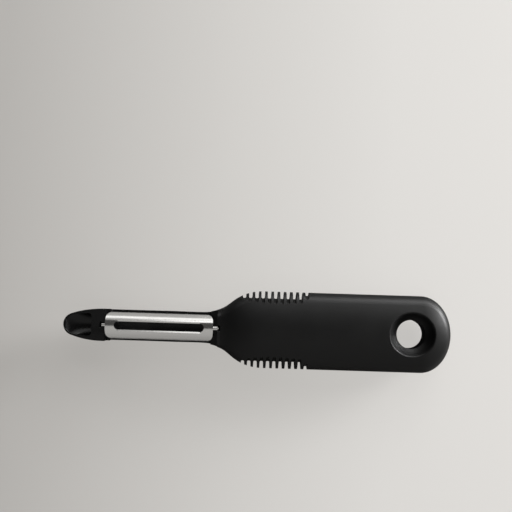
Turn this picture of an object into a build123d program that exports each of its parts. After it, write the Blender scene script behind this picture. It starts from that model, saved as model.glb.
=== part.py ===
from build123d import *
from math import acos, asin, atan2, ceil, cos, degrees, radians, sin, sqrt
import os

# Vegetable peeler with a swivelling slotted blade, a moulded head and a soft finned handle.
# It lies on its back: +X runs from the spoon tip to the butt, +Z is the blade's side.
# The origin is under the middle of the whole tool, on the surface that it lies on.

# Lengths along the tool, which add up to its overall length
spoon_length = 13.6
pier_length = 6.25
window_length = 53.6
collar_length = 1.35
grip_length = 110.2

# Handle: an oval bar with a half-elliptic butt
handle_width = 36.7
handle_thickness = 19.0
handle_side_flat = 0.7
handle_edge_share = 0.765
butt_length = 14.4

# Flare from the slim head to the wide handle: two tangent arcs in plan
head_width = 15.2
neck_thickness = 10.4
flare_lead = 7.25
flare_hollow_radius = 20.5
flare_shoulder_radius = 23.0

# Hanging hole, dished on both faces
hole_inset = 19.5
throat_radius = 6.85
dish_radius = 10.7
dish_depth = 5.5
dish_hollow = 0.6
dish_lip_radius = 0.7

# Flexible fins, left between grooves in both narrow sides of the handle
groove_count = 11
groove_pitch = 3.0
groove_lead = 11.0
groove_floor_width = 1.5
groove_mouth_width = 1.95
groove_floor_radius = 0.55
groove_depth = 3.35
groove_reach = 5.95
groove_sweep = 150.0
patch_fade_share = 0.2
last_groove_share = 0.45

# Head hull: a rounded trough with an arched bow behind the blade
head_corner_radius = 4.2
head_crown_radius = 60.0
hull_headroom = 8.0
land_rise = 5.0
bow_thickness = 3.2
bow_floor_drop = 3.2
bow_arch = 0.7

# Spoon tip
nose_radius = 5.3
nose_flank_length = 18.6
nose_rim_drop = 1.3
nose_thickness = 2.0
underside_reach = 26.0
scoop_rim = 0.6
scoop_mouth_width = 10.8
scoop_depth = 6.5
scoop_corner_radius = 1.6
bowl_width = 13.0
bowl_shares = (0.04, 0.2, 0.45, 0.75, 1.0)

# Tang inside the grip
tang_width = 11.0
tang_thickness = 6.4
tang_corner_radius = 1.4
tang_length = 75.0
tang_end_chamfer = 1.0
tang_clearance = 0.1
tang_end_gap = 0.6

# Swivelling blade: an arched strip with a long slot
pivot_rise = 3.5
blade_crown_rise = 2.4
blade_width = 12.5
blade_arch_radius = 8.4
blade_thickness = 0.8
blade_front_gap = 0.25
blade_rear_gap = 2.05
blade_end_bow = 0.45
blade_corner_radius = 3.0
blade_side_margin = 0.05
slot_width = 3.9
slot_end_land = 4.3
lip_width = 0.65
lip_drop = 0.42
lip_inset = 1.1
lip_run_out = 0.8

# Ears folded down at the blade's ends, which carry the stub pins and stop the swing
blade_swing = 30.0
ear_width = 6.2
ear_drop = 3.0
ear_corner_radius = 0.5
stop_gap = 0.06
stop_step_run = 0.55
stop_step_radius = 0.5

# Stub pins and the snap-in bearings that hold them
pin_radius = 1.05
pin_head_radius = 1.3
pin_head_length = 0.35
pin_dome_radius = 0.45
pin_end_gap = 0.5
bearing_clearance = 0.05
ear_hole_clearance = 0.02
front_bearing_depth = 2.35
throat_width = 1.9
bearing_mouth_width = 3.4
bearing_mouth_depth = 0.8

overrun = 1.0

# Stations along X and heights that follow from the sizes above
overall_length = spoon_length + pier_length + window_length + collar_length + grip_length
tip_x = -overall_length / 2
pier_x = tip_x + spoon_length
window_x = pier_x + pier_length
collar_x = window_x + window_length
grip_x = collar_x + collar_length
butt_x = overall_length / 2 - butt_length
window_middle_x = (window_x + collar_x) / 2
middle_z = handle_thickness / 2
head_half = head_width / 2
handle_half = handle_width / 2
land_z = middle_z + land_rise
pivot_z = middle_z + pivot_rise

flare_x = collar_x - flare_lead
flare_rise = handle_half - head_half
flare_radii = flare_hollow_radius + flare_shoulder_radius
flare_angle = acos(1 - flare_rise / flare_radii)
flare_length = flare_radii * sin(flare_angle)
shoulder_x = flare_x + flare_length


def half_width(x):
    """Half the tool's width in plan, from the head's flank to the handle's side."""
    run = x - flare_x
    if run <= 0:
        return head_half
    if run < flare_hollow_radius * sin(flare_angle):
        return head_half + flare_hollow_radius - sqrt(flare_hollow_radius**2 - run**2)
    if run < flare_length:
        left = flare_length - run
        return handle_half - flare_shoulder_radius + sqrt(flare_shoulder_radius**2 - left**2)
    return handle_half


def swell(x):
    """Share of the way from the neck's section, 0, to the handle's section, 1."""
    return (half_width(x) - head_half) / flare_rise


def half_thickness(x):
    return (neck_thickness + (handle_thickness - neck_thickness) * swell(x)) / 2


# The handle's faces are crowned so that they run smoothly into its round edges
edge_height = (handle_thickness - handle_side_flat) / 2
handle_corner_radius = handle_edge_share * edge_height
edge_reach = handle_half - handle_corner_radius
handle_crown_radius = (edge_reach**2 + edge_height**2 - handle_corner_radius**2) / (
    2 * (edge_height - handle_corner_radius)
)


def corner_radius(x):
    return head_corner_radius + (handle_corner_radius - head_corner_radius) * swell(x)


def crown_radius(x):
    return head_crown_radius + (handle_crown_radius - head_crown_radius) * swell(x)


def draw_section(x, bottom, top):
    """Closed section across the tool: crowned faces, round corners and upright sides."""
    side = half_width(x)
    corner = corner_radius(x)
    crown = crown_radius(x)
    reach = side - corner
    sink = crown - sqrt((crown - corner) ** 2 - reach**2)
    lean = degrees(atan2(reach, crown - sink))
    upper = top - sink
    lower = bottom + sink
    with BuildLine() as outline:
        CenterArc((0, top - crown), crown, 90 - lean, 2 * lean)
        CenterArc((-reach, upper), corner, 90 + lean, 90 - lean)
        Line((-side, upper), (-side, lower))
        CenterArc((-reach, lower), corner, 180, 90 - lean)
        CenterArc((0, bottom + crown), crown, 270 - lean, 2 * lean)
        CenterArc((reach, lower), corner, 270 + lean, 90 - lean)
        Line((side, lower), (side, upper))
        CenterArc((reach, upper), corner, 0, 90 - lean)
    make_face(outline.edges())


def draw_grip_section(x):
    draw_section(x, middle_z - half_thickness(x), middle_z + half_thickness(x))


# Bow behind the blade: floor and back are shallow arcs, lowest at the middle of the window
bow_floor_end_z = middle_z - bow_floor_drop
bow_floor_z = bow_floor_end_z - bow_arch
bow_back_z = bow_floor_z - bow_thickness
collar_bottom_z = middle_z - half_thickness(grip_x)
back_share = (collar_bottom_z - bow_back_z) / (grip_x - window_middle_x) ** 2

nose_rim_z = land_z - nose_rim_drop
nose_bottom_z = nose_rim_z - nose_thickness
underside_x = tip_x + underside_reach


def hull_bottom(x):
    """Height of the head's underside: the spoon's rising arc, then the bow's shallow one."""
    if x >= underside_x:
        return bow_back_z + back_share * (x - window_middle_x) ** 2
    start = bow_back_z + back_share * (underside_x - window_middle_x) ** 2
    rise = nose_bottom_z - start
    radius = (underside_reach**2 + rise**2) / (2 * rise)
    return start + radius - sqrt(radius**2 - (underside_x - x) ** 2)


def hull_top(x):
    """Height of the uncut hull, clear above the land and flush with the grip at the collar."""
    collar_top_z = middle_z + half_thickness(grip_x)
    share = (grip_x - x) / (grip_x - tip_x)
    return collar_top_z + (land_z + hull_headroom - collar_top_z) * share


# Blade and its ears
blade_x = window_x + blade_front_gap
blade_length = window_length - blade_front_gap - blade_rear_gap
blade_end_x = blade_x + blade_length
blade_middle_x = blade_x + blade_length / 2
blade_crown_z = pivot_z + blade_crown_rise
blade_centre_z = blade_crown_z - blade_arch_radius
blade_inner_radius = blade_arch_radius - blade_thickness
blade_half_angle = degrees(asin(blade_width / 2 / blade_arch_radius))
ear_corner_y = ear_width / 2 - ear_corner_radius
ear_corner_drop = ear_drop - ear_corner_radius
ear_reach = sqrt(ear_corner_y**2 + ear_corner_drop**2)
ear_lean = degrees(atan2(ear_corner_y, ear_corner_drop))
ear_lowest = ear_reach * cos(radians(max(ear_lean - blade_swing, 0))) + ear_corner_radius
stop_z = pivot_z - ear_lowest - stop_gap
slot_length = blade_length - 2 * slot_end_land


def spoon_outline(rim, end_x, end_half):
    """Nose arc and two tangent flank arcs, inset by the rim, out to a half width at end_x."""
    radius = nose_radius - rim
    centre_x = tip_x + nose_radius
    run = end_x - centre_x
    flank = (run**2 + end_half**2 - radius**2) / (2 * (end_half - radius))
    turn = degrees(atan2(flank - end_half, run))
    touch = (centre_x - radius * cos(radians(turn)), radius * sin(radians(turn)))
    TangentArc((end_x, end_half), touch, tangent=(-1, 0))
    ThreePointArc(touch, (centre_x - radius, 0), (touch[0], -touch[1]))
    TangentArc((end_x, -end_half), (touch[0], -touch[1]), tangent=(-1, 0))


# Solid that scoops the spoon out: an elliptic bowl that deepens towards the pier
scoop_length = spoon_length - scoop_rim
scoop_floor_z = land_z - scoop_depth
scoop_rise = nose_rim_z - scoop_floor_z
scoop_floor_radius = (scoop_length**2 + scoop_rise**2) / (2 * scoop_rise)
with BuildPart() as scoop:
    for share in bowl_shares:
        left = scoop_length * (1 - share)
        floor_z = scoop_floor_z + scoop_floor_radius - sqrt(scoop_floor_radius**2 - left**2)
        rim_z = nose_rim_z + nose_rim_drop * share
        with BuildSketch(Plane.YZ.offset(pier_x - left)):
            with Locations((0, rim_z)):
                Ellipse(bowl_width / 2, rim_z - floor_z)
    loft()
    with BuildSketch(Plane.XY.offset(scoop_floor_z - overrun)) as scoop_plan:
        with BuildLine():
            spoon_outline(scoop_rim, pier_x, scoop_mouth_width / 2)
            Line((pier_x, -scoop_mouth_width / 2), (pier_x, scoop_mouth_width / 2))
        make_face()
        fillet(scoop_plan.vertices().group_by(Axis.X)[-1], scoop_corner_radius)
    extrude(amount=2 * scoop_depth + overrun, mode=Mode.INTERSECT)


def draw_bearing(top):
    """Round seat for a stub pin with a narrower snap-in throat and a flared mouth above it."""
    seat = pin_radius + bearing_clearance
    with Locations((0, pivot_z)):
        Circle(seat)
    mouth_z = top - bearing_mouth_depth
    with BuildLine() as throat:
        Polyline(
            (-throat_width / 2, pivot_z),
            (-throat_width / 2, mouth_z),
            (-bearing_mouth_width / 2, top),
            (-bearing_mouth_width / 2, top + overrun),
            (bearing_mouth_width / 2, top + overrun),
            (bearing_mouth_width / 2, top),
            (throat_width / 2, mouth_z),
            (throat_width / 2, pivot_z),
            close=True,
        )
    make_face(throat.edges())


# Head frame: spoon tip, front pier, bow, rear collar and tang, moulded in one
hull_stations = [
    tip_x - overrun,
    tip_x + spoon_length / 3,
    tip_x + 2 * spoon_length / 3,
    pier_x,
    window_x,
    underside_x,
    window_middle_x,
    (window_middle_x + flare_x) / 2,
    flare_x,
    flare_x + flare_lead / 2,
    collar_x,
    grip_x,
]
front_bearing_x = window_x - front_bearing_depth
with BuildPart() as frame:
    for x in hull_stations:
        with BuildSketch(Plane.YZ.offset(x)):
            draw_section(x, hull_bottom(x), hull_top(x))
    loft()

    with BuildSketch(Plane.XY):
        flank_x = tip_x + nose_flank_length
        with BuildLine():
            spoon_outline(0, flank_x, head_half)
            Polyline(
                (flank_x, head_half),
                (flank_x, handle_half),
                (grip_x + overrun, handle_half),
                (grip_x + overrun, -handle_half),
                (flank_x, -handle_half),
                (flank_x, -head_half),
            )
        make_face()
    extrude(amount=land_z + 2 * hull_headroom, mode=Mode.INTERSECT)

    # Cut away everything above the rim, the land and the bow's floor, with a stop step at each pier
    step_end_x = window_x + blade_front_gap + blade_thickness + stop_step_run
    rear_step_x = blade_end_x - blade_thickness - stop_step_run
    ceiling_z = land_z + 2 * hull_headroom
    with BuildSketch(Plane.XZ) as side_cut:
        with BuildLine():
            TangentArc((pier_x, land_z), (tip_x - overrun, nose_rim_z), tangent=(-1, 0))
            Line((pier_x, land_z), (window_x, land_z))
            Line((window_x, land_z), (window_x, stop_z))
            Line((window_x, stop_z), (step_end_x, stop_z))
            Line((step_end_x, stop_z), (step_end_x, bow_floor_end_z))
            ThreePointArc(
                (step_end_x, bow_floor_end_z),
                (window_middle_x, bow_floor_z),
                (rear_step_x, bow_floor_end_z),
            )
            Line((rear_step_x, bow_floor_end_z), (rear_step_x, stop_z))
            Line((rear_step_x, stop_z), (collar_x, stop_z))
            Line((collar_x, stop_z), (collar_x, ceiling_z))
            Line((collar_x, ceiling_z), (tip_x - overrun, ceiling_z))
            Line((tip_x - overrun, ceiling_z), (tip_x - overrun, nose_rim_z))
        make_face()
        floor_corners = side_cut.vertices().group_by(Axis.Y)[0]
        fillet(floor_corners, stop_step_radius)
    extrude(amount=handle_width, both=True, mode=Mode.SUBTRACT)

    add(scoop.part, mode=Mode.SUBTRACT)

    # Snap-in bearings for the two stub pins
    with BuildSketch(Plane.YZ.offset(front_bearing_x)):
        draw_bearing(land_z)
    extrude(amount=front_bearing_depth + blade_front_gap, mode=Mode.SUBTRACT)
    with BuildSketch(Plane.YZ.offset(collar_x - overrun)):
        draw_bearing(hull_top(collar_x))
    extrude(amount=collar_length + 2 * overrun, mode=Mode.SUBTRACT)

    # Tang, a flat bar that the grip is pushed over
    with BuildSketch(Plane.YZ.offset(grip_x)):
        with Locations((0, middle_z)):
            RectangleRounded(tang_width, tang_thickness, tang_corner_radius)
    extrude(amount=tang_length)
    chamfer(frame.faces().sort_by(Axis.X)[-1].edges(), tang_end_chamfer)
frame.part.label = "frame"

# Butt: half of the handle's section turned about Z, then drawn in to a half ellipse
with BuildPart() as butt:
    with BuildSketch(Plane.YZ):
        draw_grip_section(shoulder_x)
        split(bisect_by=Plane.YZ, keep=Keep.BOTTOM)
    revolve(axis=Axis.Z, revolution_arc=180)
    scale(by=(butt_length / handle_half, 1, 1))

# Soft grip: lofted flare, straight oval body and rounded butt
flare_steps = ceil((shoulder_x - grip_x) / groove_pitch)
hole_x = overall_length / 2 - hole_inset
with BuildPart() as grip:
    for step in range(flare_steps + 1):
        x = grip_x + (shoulder_x - grip_x) * step / flare_steps
        with BuildSketch(Plane.YZ.offset(x)):
            draw_grip_section(x)
    loft()
    with BuildSketch(Plane.YZ.offset(shoulder_x)):
        draw_grip_section(shoulder_x)
    extrude(amount=butt_x - shoulder_x)
    with Locations((butt_x, 0, 0)):
        add(butt.part)

    # Hanging hole: a straight throat between two dishes
    with BuildSketch(Plane(origin=(hole_x, 0, middle_z), x_dir=(1, 0, 0), z_dir=(0, -1, 0))):
        with BuildLine():
            Line((0, 0), (throat_radius, 0))
            Line((throat_radius, 0), (throat_radius, middle_z - dish_depth))
            SagittaArc((throat_radius, middle_z - dish_depth), (dish_radius, middle_z), -dish_hollow)
            Line((dish_radius, middle_z), (dish_radius, middle_z + overrun))
            Line((dish_radius, middle_z + overrun), (0, middle_z + overrun))
            Line((0, middle_z + overrun), (0, 0))
        make_face()
        mirror(about=Plane.XZ)
    revolve(axis=Axis((hole_x, 0, 0), (0, 0, 1)), mode=Mode.SUBTRACT)
    rims = [
        edge
        for edge in grip.edges(Select.LAST)
        if abs(edge.center().Z - middle_z) > middle_z - dish_depth / 2
    ]
    fillet(rims, dish_lip_radius)

    # Socket for the tang
    with BuildSketch(Plane.YZ.offset(grip_x)):
        with Locations((0, middle_z)):
            RectangleRounded(
                tang_width + 2 * tang_clearance,
                tang_thickness + 2 * tang_clearance,
                tang_corner_radius + tang_clearance,
            )
    extrude(amount=tang_length + tang_end_gap, mode=Mode.SUBTRACT)

    # Grooves: each is a U turned part of the way round an axis along the handle
    for index in range(groove_count):
        across = (2 * index / (groove_count - 1) - 1) ** 2
        last = index == groove_count - 1
        share = last_groove_share if last else 1
        reach = groove_reach * (1 - patch_fade_share * across) * (share + 1) / 2
        side_y = handle_half - groove_depth * share
        face_y = handle_half - reach
        face_rise = middle_z - handle_crown_radius + sqrt(handle_crown_radius**2 - face_y**2)
        axis_y = (side_y**2 - face_y**2 - face_rise**2) / (2 * (side_y - face_y))
        floor = side_y - axis_y
        x = grip_x + groove_lead + groove_pitch * index
        start = radians(-groove_sweep / 2)
        for side in (1, -1):
            origin = (x, side * axis_y, middle_z)
            down = Plane(origin=origin, x_dir=(1, 0, 0), z_dir=(0, -sin(start), side * cos(start)))
            with BuildSketch(down) as groove:
                with BuildLine():
                    Polyline(
                        (-groove_floor_width / 2, floor),
                        (groove_floor_width / 2, floor),
                        (groove_mouth_width / 2, handle_half - axis_y + overrun),
                        (-groove_mouth_width / 2, handle_half - axis_y + overrun),
                        close=True,
                    )
                make_face()
                fillet(groove.vertices().group_by(Axis.Y)[0], groove_floor_radius)
            revolve(
                axis=Axis(origin, (side, 0, 0)),
                revolution_arc=groove_sweep,
                mode=Mode.SUBTRACT,
            )
grip.part.label = "grip"

# Wedge that grinds the slot's long edges, with a ramp at each end
slot_half = slot_width / 2
lip_half = slot_half + lip_width
lip_edge_z = blade_centre_z + sqrt(blade_arch_radius**2 - slot_half**2) - lip_drop
lip_side_z = blade_centre_z + sqrt(blade_arch_radius**2 - lip_half**2)
lip_start_x = blade_x + slot_end_land + lip_inset
lip_end_x = blade_end_x - slot_end_land - lip_inset
lip_top_z = blade_crown_z + overrun
with BuildPart() as lips:
    with BuildSketch(Plane.YZ.offset(lip_start_x)):
        with BuildLine():
            Polyline(
                (-lip_half, lip_top_z),
                (-lip_half, lip_side_z),
                (-slot_half, lip_edge_z),
                (slot_half, lip_edge_z),
                (lip_half, lip_side_z),
                (lip_half, lip_top_z),
                close=True,
            )
        make_face()
    extrude(amount=lip_end_x - lip_start_x)
    with BuildSketch(Plane.XZ):
        with BuildLine():
            Polyline(
                (lip_start_x, blade_crown_z),
                (lip_start_x + lip_run_out, lip_edge_z),
                (lip_end_x - lip_run_out, lip_edge_z),
                (lip_end_x, blade_crown_z),
                close=True,
            )
        make_face()
    extrude(amount=blade_width, both=True, mode=Mode.INTERSECT)

# Blade: arched strip, rounded in plan, with a slot whose long edges are ground to lips
with BuildPart() as blade:
    with BuildSketch(Plane.YZ.offset(blade_x)):
        with BuildLine():
            outer = CenterArc(
                (0, blade_centre_z), blade_arch_radius, 90 - blade_half_angle, 2 * blade_half_angle
            )
            inner = CenterArc(
                (0, blade_centre_z), blade_inner_radius, 90 - blade_half_angle, 2 * blade_half_angle
            )
            Line(outer @ 0, inner @ 0)
            Line(outer @ 1, inner @ 1)
        make_face()
    extrude(amount=blade_length)
    for ear_x in (blade_x, blade_end_x - blade_thickness):
        with BuildSketch(Plane.YZ.offset(ear_x)) as ear:
            with Locations((0, pivot_z - ear_drop)):
                Rectangle(
                    ear_width,
                    blade_crown_rise + ear_drop,
                    align=(Align.CENTER, Align.MIN),
                )
            fillet(ear.vertices().group_by(Axis.Y)[0], ear_corner_radius)
            with Locations((0, blade_centre_z)):
                Circle(blade_arch_radius - blade_thickness / 2, mode=Mode.INTERSECT)
            with Locations((0, pivot_z)):
                Circle(pin_radius + ear_hole_clearance, mode=Mode.SUBTRACT)
        extrude(amount=blade_thickness)
    with BuildSketch(Plane.XY) as blade_plan:
        plan_half = blade_width / 2 + blade_side_margin
        left_x = blade_x + blade_end_bow
        right_x = blade_end_x - blade_end_bow
        with BuildLine():
            Line((left_x, plan_half), (right_x, plan_half))
            ThreePointArc((right_x, plan_half), (blade_end_x, 0), (right_x, -plan_half))
            Line((right_x, -plan_half), (left_x, -plan_half))
            ThreePointArc((left_x, -plan_half), (blade_x, 0), (left_x, plan_half))
        make_face()
        fillet(blade_plan.vertices(), blade_corner_radius)
    extrude(amount=blade_crown_z + overrun, mode=Mode.INTERSECT)
    with BuildSketch(Plane.XY.offset(pivot_z)):
        with Locations((blade_middle_x, 0)):
            SlotOverall(slot_length, slot_width)
    extrude(amount=blade_crown_rise + overrun, mode=Mode.SUBTRACT)
    add(lips.part, mode=Mode.SUBTRACT)
blade.part.label = "blade"

# Stub pins, headed inside the ears and domed at their free ends
front_pin_length = blade_x + blade_thickness - front_bearing_x - pin_end_gap
rear_pin_length = grip_x - pin_end_gap - blade_end_x + blade_thickness
pins = (
    ("front_pivot_pin", blade_x + blade_thickness, -1, front_pin_length),
    ("rear_pivot_pin", blade_end_x - blade_thickness, 1, rear_pin_length),
)
os.makedirs("parts", exist_ok=True)
for name, seat_x, way, length in pins:
    with BuildPart() as pin:
        with BuildSketch(Plane(origin=(seat_x, 0, pivot_z), x_dir=(way, 0, 0), z_dir=(0, -way, 0))):
            with BuildLine():
                Polyline(
                    (length - pin_dome_radius, pin_radius),
                    (0, pin_radius),
                    (0, pin_head_radius),
                    (-pin_head_length, pin_head_radius),
                    (-pin_head_length, 0),
                    (length, 0),
                    (length, pin_radius - pin_dome_radius),
                )
                TangentArc(
                    (length, pin_radius - pin_dome_radius),
                    (length - pin_dome_radius, pin_radius),
                    tangent=(0, 1),
                )
            make_face()
        revolve(axis=Axis((seat_x, 0, pivot_z), (1, 0, 0)))
    pin.part.label = name
    export_step(pin.part, f"parts/{name}.step")

for piece in (grip, frame, blade):
    export_step(piece.part, f"parts/{piece.part.label}.step")
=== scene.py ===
# A straight vegetable peeler lying on its back on a pale floor, seen face on.
import bmesh
import bpy
from math import cos, radians, sin
from mathutils import Matrix, Vector

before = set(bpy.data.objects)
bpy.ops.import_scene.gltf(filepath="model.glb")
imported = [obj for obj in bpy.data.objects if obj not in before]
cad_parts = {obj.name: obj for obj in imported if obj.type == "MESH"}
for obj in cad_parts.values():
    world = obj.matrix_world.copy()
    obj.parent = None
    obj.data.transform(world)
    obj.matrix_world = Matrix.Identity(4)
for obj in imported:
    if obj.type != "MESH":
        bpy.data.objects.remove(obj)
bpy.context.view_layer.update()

# Frame
# The head: spoon tip, pier, arched bow and collar moulded in one piece of hard black plastic,
# with the faint orange peel and the satin shine that such mouldings leave the tool with.


def new_finish(name, sockets):
    """A finish with its shader, whose even values are set from socket names."""
    finish = bpy.data.materials.new(name)
    finish.use_nodes = True
    shader = finish.node_tree.nodes["Principled BSDF"]
    for socket, value in sockets.items():
        shader.inputs[socket].default_value = value
    return finish, shader


def surface_noise(finish, scale, detail, stretch=(1, 1, 1)):
    """Noise in a piece's own coordinates; a stretch below 1 draws it out along that axis."""
    nodes, links = finish.node_tree.nodes, finish.node_tree.links
    place = nodes.new("ShaderNodeTexCoord")
    mapping = nodes.new("ShaderNodeMapping")
    mapping.inputs["Scale"].default_value = stretch
    links.new(place.outputs["Object"], mapping.inputs["Vector"])
    noise = nodes.new("ShaderNodeTexNoise")
    noise.inputs["Scale"].default_value = scale
    noise.inputs["Detail"].default_value = detail
    links.new(mapping.outputs["Vector"], noise.inputs["Vector"])
    return noise.outputs["Fac"]


def ramp_over(owner, source, stops):
    """A ramp along a source, through stops of a place from 0 to 1 and a grey or a colour."""
    ramp = owner.node_tree.nodes.new("ShaderNodeValToRGB")
    elements = ramp.color_ramp.elements
    while len(elements) < len(stops):
        elements.new(0.5)
    for element, (place, tone) in zip(elements, stops):
        element.position = place
        element.color = (*tone, 1.0) if isinstance(tone, tuple) else (tone, tone, tone, 1.0)
    owner.node_tree.links.new(source, ramp.inputs["Fac"])
    return ramp.outputs["Color"]


def vary(finish, shader, socket, source, stops):
    """Lets a source choose one of the shader's values between its stops."""
    finish.node_tree.links.new(ramp_over(finish, source, stops), shader.inputs[socket])


def grain(finish, shader, height, strength, depth):
    """Bump from a height pattern, depth in metres."""
    nodes, links = finish.node_tree.nodes, finish.node_tree.links
    bump = nodes.new("ShaderNodeBump")
    bump.inputs["Strength"].default_value = strength
    bump.inputs["Distance"].default_value = depth
    links.new(height, bump.inputs["Height"])
    links.new(bump.outputs["Normal"], shader.inputs["Normal"])


def dress(node, finish):
    """Gives a CAD piece its finish."""
    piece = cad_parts[node]
    piece.data.materials.clear()
    piece.data.materials.append(finish)


polished_and_dull = ((0.35, 0.24), (0.7, 0.32))
deep_and_worn_black = ((0.3, (0.0035, 0.0035, 0.0036)), (0.75, (0.0055, 0.0055, 0.0056)))
head_plastic, shader = new_finish("head_plastic", {"Specular IOR Level": 0.35})
orange_peel = surface_noise(head_plastic, scale=1400, detail=3.0)
grain(head_plastic, shader, orange_peel, strength=0.06, depth=0.0001)
handling = surface_noise(head_plastic, scale=160, detail=4.0, stretch=(0.6, 1, 1))
vary(head_plastic, shader, "Roughness", handling, polished_and_dull)
vary(head_plastic, shader, "Base Color", handling, deep_and_worn_black)
dress("frame", head_plastic)

# Blade
# One stamped strip of stainless steel, arched across its width, with its ends folded down.
# It is ground lengthways, so its shine is drawn out into fine lines along the tool.
ground_shine = ((0.3, 0.14), (0.7, 0.20))
blade_steel, shader = new_finish("blade_steel", {"Base Color": (0.8, 0.795, 0.78, 1.0), "Metallic": 1.0})
grinding_lines = surface_noise(blade_steel, scale=5200, detail=3.0, stretch=(0.02, 1, 1))
grain(blade_steel, shader, grinding_lines, strength=0.05, depth=0.00002)
vary(blade_steel, shader, "Roughness", grinding_lines, ground_shine)
dress("blade", blade_steel)

# Stub pins
# Two short stainless pins, turned on a lathe and headed over inside the blade's ears.
# Turning leaves faint rings round them.
turned_shine = ((0.3, 0.16), (0.7, 0.24))
pin_steel, shader = new_finish("pin_steel", {"Base Color": (0.78, 0.775, 0.76, 1.0), "Metallic": 1.0})
turning_rings = surface_noise(pin_steel, scale=9000, detail=2.0, stretch=(1, 0.05, 0.05))
grain(pin_steel, shader, turning_rings, strength=0.08, depth=0.00002)
vary(pin_steel, shader, "Roughness", turning_rings, turned_shine)
for pin in ("front_pivot_pin", "rear_pivot_pin"):
    dress(pin, pin_steel)

# Grip
# A soft rubber sleeve pushed over the head's tang, with flexible fins in both narrow sides.
# Its skin is matt, finely grained and a little dusty, with a slightly paler bloom in places.
matt_and_bloomed = ((0.3, 0.42), (0.72, 0.48))
rubber_and_bloom = ((0.3, (0.0035, 0.0035, 0.0036)), (0.72, (0.005, 0.005, 0.0049)))
soft_grip, shader = new_finish("soft_grip", {"Specular IOR Level": 0.3})
rubber_grain = surface_noise(soft_grip, scale=2600, detail=4.0)
grain(soft_grip, shader, rubber_grain, strength=0.22, depth=0.00012)
bloom = surface_noise(soft_grip, scale=90, detail=5.0, stretch=(0.7, 1, 1))
vary(soft_grip, shader, "Base Color", bloom, rubber_and_bloom)
vary(soft_grip, shader, "Roughness", bloom, matt_and_bloomed)
dress("grip", soft_grip)

# Studio
# A plain pale floor, with a painted glow brighter towards the butt, under a soft key lamp with a narrow
# step above it, a fill lamp and a side lamp. The grey room is dark in a band overhead, which the blade
# mirrors.


def rescale(owner, source, from_min, from_max, to_min=0.0, to_max=1.0):
    """Takes a source from one range to another, held at both ends."""
    scale = owner.node_tree.nodes.new("ShaderNodeMapRange")
    scale.inputs["From Min"].default_value = from_min
    scale.inputs["From Max"].default_value = from_max
    scale.inputs["To Min"].default_value = to_min
    scale.inputs["To Max"].default_value = to_max
    owner.node_tree.links.new(source, scale.inputs["Value"])
    return scale.outputs["Result"]


floor_half = 3.0
floor_mesh = bpy.data.meshes.new("floor")
sheet = bmesh.new()
bmesh.ops.create_grid(sheet, x_segments=1, y_segments=1, size=floor_half)
sheet.to_mesh(floor_mesh)
sheet.free()
floor = bpy.data.objects.new("floor", floor_mesh)
bpy.context.scene.collection.objects.link(floor)

# The floor's paint is dark for the light that it sends back, so that the black tool stays black.
# To the eye it is pale, with a share of even glow, painted light that brightens from the spoon tip to the
# butt.
paint_for_bounces = (0.2, 0.196, 0.192)
paint_for_the_eye = (0.85, 0.835, 0.81)
glow_share = 0.75
glow_half_reach = 0.13
glow_along_tool = (
    (0.0, (0.4, 0.385, 0.365)),
    (0.46, (0.61, 0.593, 0.567)),
    (0.75, (0.715, 0.697, 0.67)),
    (1.0, (0.74, 0.72, 0.693)),
)
floor_paint, shader = new_finish("floor_paint", {"Roughness": 0.85, "Specular IOR Level": 0.2})
nodes, links = floor_paint.node_tree.nodes, floor_paint.node_tree.links
ray = nodes.new("ShaderNodeLightPath")
paints = ((0.0, paint_for_bounces), (1.0, paint_for_the_eye))
vary(floor_paint, shader, "Base Color", ray.outputs["Is Camera Ray"], paints)
place = nodes.new("ShaderNodeTexCoord")
across = nodes.new("ShaderNodeSeparateXYZ")
links.new(place.outputs["Object"], across.inputs["Vector"])
along_tool = rescale(floor_paint, across.outputs["X"], -glow_half_reach, glow_half_reach)
glow = nodes.new("ShaderNodeEmission")
links.new(ramp_over(floor_paint, along_tool, glow_along_tool), glow.inputs["Color"])
seen_share = nodes.new("ShaderNodeMath")
seen_share.operation = "MULTIPLY"
seen_share.inputs[1].default_value = glow_share
links.new(ray.outputs["Is Camera Ray"], seen_share.inputs[0])

# Beyond the butt the floor also glows to glossy rays, a painted light that the butt's shiny rim mirrors as
# a pale reflection.
mirrored_share = 0.8
mirrored_from = 0.1
mirrored_full = 0.13
beyond_butt = rescale(floor_paint, across.outputs["X"], mirrored_from, mirrored_full, to_max=mirrored_share)
whole_share = nodes.new("ShaderNodeMath")
whole_share.operation = "MULTIPLY_ADD"
links.new(beyond_butt, whole_share.inputs[0])
links.new(ray.outputs["Is Glossy Ray"], whole_share.inputs[1])
links.new(seen_share.outputs["Value"], whole_share.inputs[2])
blend = nodes.new("ShaderNodeMixShader")
links.new(whole_share.outputs["Value"], blend.inputs["Fac"])
links.new(shader.outputs["BSDF"], blend.inputs[1])
links.new(glow.outputs["Emission"], blend.inputs[2])
links.new(blend.outputs["Shader"], nodes["Material Output"].inputs["Surface"])
floor_mesh.materials.append(floor_paint)


def warm_grey(level):
    """A grey with a faint warmth."""
    warmth = (1.0, 0.985, 0.96)
    return tuple(level * part for part in warmth)


# The room's greys run across the tool, from beyond its lower edge to beyond its upper edge.
room_greys = (
    (0.0, 0.34),
    (0.1, 0.41),
    (0.3, 0.45),
    (0.435, 0.43),
    (0.465, 0.06),
    (0.76, 0.06),
    (0.8, 0.40),
    (1.0, 0.42),
)
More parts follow.
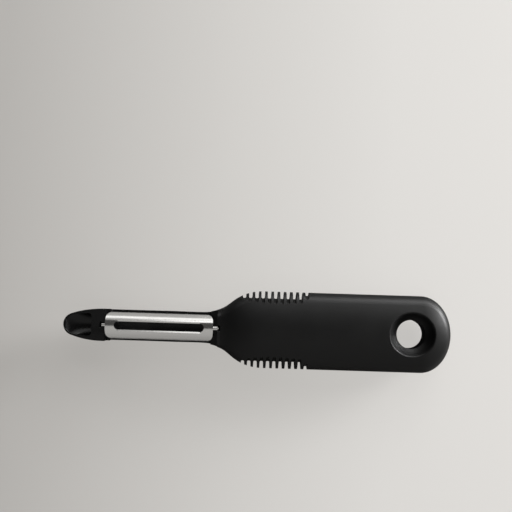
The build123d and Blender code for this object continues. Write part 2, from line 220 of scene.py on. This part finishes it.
# The room is dimmer beyond the spoon tip.
dusk_from = -0.95
dusk_to = -0.35
dusk_strength = 0.15
room = bpy.data.worlds.new("room")
bpy.context.scene.world = room
room.use_nodes = True
nodes, links = room.node_tree.nodes, room.node_tree.links
lighting = nodes["Background"]
direction = nodes.new("ShaderNodeTexCoord")
toward = nodes.new("ShaderNodeSeparateXYZ")
links.new(direction.outputs["Generated"], toward.inputs["Vector"])
over_tool = rescale(room, toward.outputs["Y"], -1, 1)
room_colours = tuple((place, warm_grey(grey)) for place, grey in room_greys)
links.new(ramp_over(room, over_tool, room_colours), lighting.inputs["Color"])
dusk = rescale(room, toward.outputs["X"], dusk_from, dusk_to, to_min=dusk_strength)
links.new(dusk, lighting.inputs["Strength"])

# The eye sees an even pale backdrop where the floor ends.
backdrop_grey = (0.62, 0.605, 0.58, 1.0)
backdrop = nodes.new("ShaderNodeBackground")
backdrop.inputs["Color"].default_value = backdrop_grey
ray = nodes.new("ShaderNodeLightPath")
shown = nodes.new("ShaderNodeMixShader")
links.new(ray.outputs["Is Camera Ray"], shown.inputs["Fac"])
links.new(lighting.outputs["Background"], shown.inputs[1])
links.new(backdrop.outputs["Background"], shown.inputs[2])
links.new(shown.outputs["Shader"], nodes["World Output"].inputs["Surface"])


def soft_lamp(name, place, target, width, height, watts, beam=180):
    """A rectangular lamp turned to face a point, with its beam's angle in degrees."""
    light = bpy.data.lights.new(name, "AREA")
    light.shape = "RECTANGLE"
    light.size = width
    light.size_y = height
    light.energy = watts
    light.spread = radians(beam)
    lamp = bpy.data.objects.new(name, light)
    lamp.location = place
    lamp.rotation_euler = (Vector(target) - Vector(place)).to_track_quat("-Z", "Y").to_euler()
    bpy.context.scene.collection.objects.link(lamp)


soft_lamp("key", place=(0.0, 0.75, 0.55), target=(0, 0, 0), width=1.2, height=0.26, watts=0.76)
soft_lamp("key_step", place=(0.21, 0.59, 0.715), target=(0.21, 0, 0), width=0.74, height=0.15, watts=0.38)
soft_lamp("fill", place=(0.4, 0.85, 0.28), target=(0.06, 0, 0), width=0.7, height=0.4, watts=5.8)
butt = (0.05, 0, 0.01)
soft_lamp("side", place=(1.15, 0.54, 0.24), target=butt, width=0.6, height=0.24, watts=3.0, beam=50)

# Camera
# It looks down on the blade's side, a little from beyond the tool's upper edge,
# rolled so that the handle runs slightly downhill to the right.
middle_height = 0.0095
middle = Vector((0, 0, middle_height))
roll = radians(1.8)
tilt = radians(3.39)
away = 0.3586
beyond = 0.0141
aside = -0.0007
right = Vector((cos(roll), sin(roll), 0))
up = Vector((-sin(roll), cos(roll), 0))
forward = Vector((0, 0, -1)) * cos(tilt) + up * sin(tilt)
above = right.cross(forward)
stand = middle + right * aside + up * beyond + Vector((0, 0, away))
turn = Matrix((right, above, -forward)).transposed().to_4x4()
lens = bpy.data.cameras.new("camera")
lens.sensor_width = 36
lens.lens = 52.2
camera = bpy.data.objects.new("camera", lens)
camera.matrix_world = Matrix.Translation(stand) @ turn
bpy.context.scene.collection.objects.link(camera)
bpy.context.scene.camera = camera
bpy.context.scene.view_settings.view_transform = "Standard"
